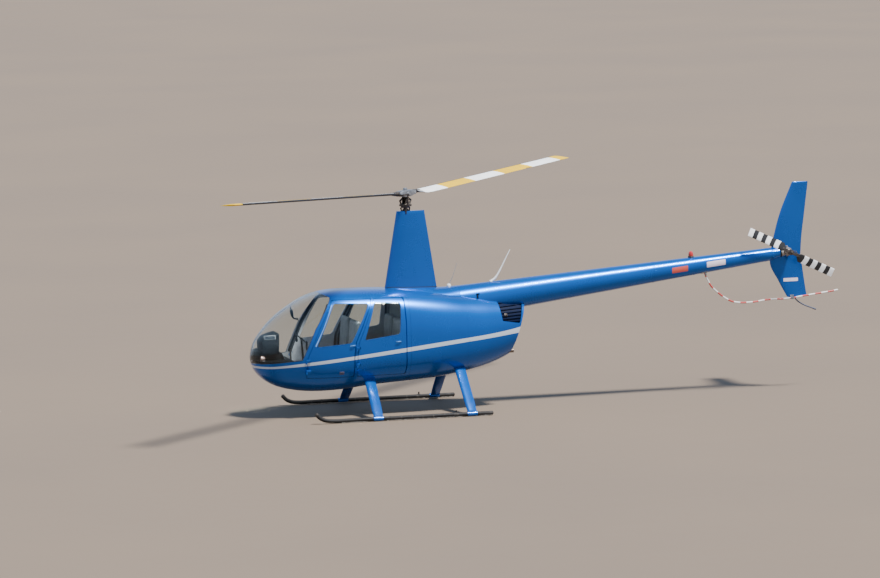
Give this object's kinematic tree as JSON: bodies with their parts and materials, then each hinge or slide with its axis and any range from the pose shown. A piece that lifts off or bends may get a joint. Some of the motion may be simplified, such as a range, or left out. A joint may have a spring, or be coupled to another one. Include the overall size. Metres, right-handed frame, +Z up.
{
  "type": "light four-seat helicopter",
  "caption": "Light piston helicopter with a glazed cabin, hinged doors, tall mast, teetering main rotor, tail rotor with guard, and skid landing gear.",
  "frame": {"origin": "on the ground under the middle of the craft's outline, rotor blades included", "axes": "+X aft along the boom, +Y to starboard, +Z up"},
  "size_m": [10.2612, 7.4575, 3.4867],
  "materials": {
    "body_blue": "glossy metallic mid-blue enamel with a pale grey waist stripe",
    "window_clear": "clear tinted acrylic",
    "trim_dark": "matt near-black paint and trim",
    "skid_dark": "satin black paint, worn at the shoes",
    "sheet_grey": "primed and painted sheet",
    "case_grey": "cast and machined grey alloy",
    "engine_cast": "dull grey casting",
    "steel_bare": "bare and heat-stained steel",
    "seat_grey": "grey hide with sewn channels",
    "blade_bands": "white and yellow bands above, dark grey below",
    "tail_blade_bands": "black and white bands",
    "guard_bands": "red and white bands",
    "antenna_white": "white moulded cover",
    "beacon_red": "red lens on a grey base",
    "lamp_clear": "clear lens over a bright reflector"
  },
  "bodies": {
    "airframe": {"lower_hull": "body_blue", "cabin_frame": "body_blue", "engine_cowl_port": "body_blue", "engine_cowl_starboard": "body_blue", "tail_cowl": "body_blue", "roof_cowl": "body_blue", "mast_fairing": "body_blue", "tail_boom": "body_blue", "upper_fin": "body_blue", "lower_fin": "body_blue", "stabilizer": "body_blue", "front_leg_port": "body_blue", "rear_leg_port": "body_blue", "front_leg_starboard": "body_blue", "rear_leg_starboard": "body_blue", "windshield_port": "window_clear", "windshield_starboard": "window_clear", "windshield_strip": "trim_dark", "cyclic_stick": "trim_dark", "instrument_console": "trim_dark", "louvre_panel_port": "trim_dark", "louvre_panel_starboard": "trim_dark", "skid_port": "skid_dark", "skid_starboard": "skid_dark", "tail_skid": "skid_dark", "cabin_floor": "sheet_grey", "firewall": "sheet_grey", "main_gearbox": "case_grey", "tail_gearbox": "case_grey", "engine": "engine_cast", "exhaust_pipe": "steel_bare", "front_seat_port": "seat_grey", "front_seat_starboard": "seat_grey", "rear_seat": "seat_grey", "tail_guard": "guard_bands", "aft_antenna": "antenna_white", "forward_antenna": "antenna_white", "beacon": "beacon_red", "landing_light": "lamp_clear"},
    "front_port_door": {"front_door_port": "body_blue", "front_door_glass_port": "window_clear"},
    "front_starboard_door": {"front_door_starboard": "body_blue", "front_door_glass_starboard": "window_clear"},
    "rear_port_door": {"rear_door_port": "body_blue", "rear_door_glass_port": "window_clear"},
    "rear_starboard_door": {"rear_door_starboard": "body_blue", "rear_door_glass_starboard": "window_clear"},
    "main_rotor": {"rotor_mast": "steel_bare", "rotor_hub": "case_grey", "main_blade_a": "blade_bands", "main_blade_b": "blade_bands"},
    "tail_rotor_set": {"tail_rotor": "tail_blade_bands"}
  },
  "joints": [
    {"name": "main_rotor_spin", "type": "hinge", "parent": "airframe", "child": "main_rotor", "pos_m": [-1.584, 0, 3.18], "axis": [0, 0, 1], "continuous": true},
    {"name": "tail_rotor_spin", "type": "hinge", "parent": "airframe", "child": "tail_rotor_set", "pos_m": [4.309, -0.218, 2.091], "axis": [0, 1, 0], "continuous": true},
    {"name": "front_port_door_hinge", "type": "hinge", "parent": "airframe", "child": "front_port_door", "pos_m": [-3.256, -0.592, 0.9], "axis": [0, 0, -1], "range_deg": [0, 75]},
    {"name": "front_starboard_door_hinge", "type": "hinge", "parent": "airframe", "child": "front_starboard_door", "pos_m": [-3.256, 0.592, 0.9], "axis": [0, 0, 1], "range_deg": [0, 75]},
    {"name": "rear_port_door_hinge", "type": "hinge", "parent": "airframe", "child": "rear_port_door", "pos_m": [-2.514, -0.664, 0.9], "axis": [0, 0, -1], "range_deg": [0, 75]},
    {"name": "rear_starboard_door_hinge", "type": "hinge", "parent": "airframe", "child": "rear_starboard_door", "pos_m": [-2.514, 0.664, 0.9], "axis": [0, 0, 1], "range_deg": [0, 75]}
  ]
}
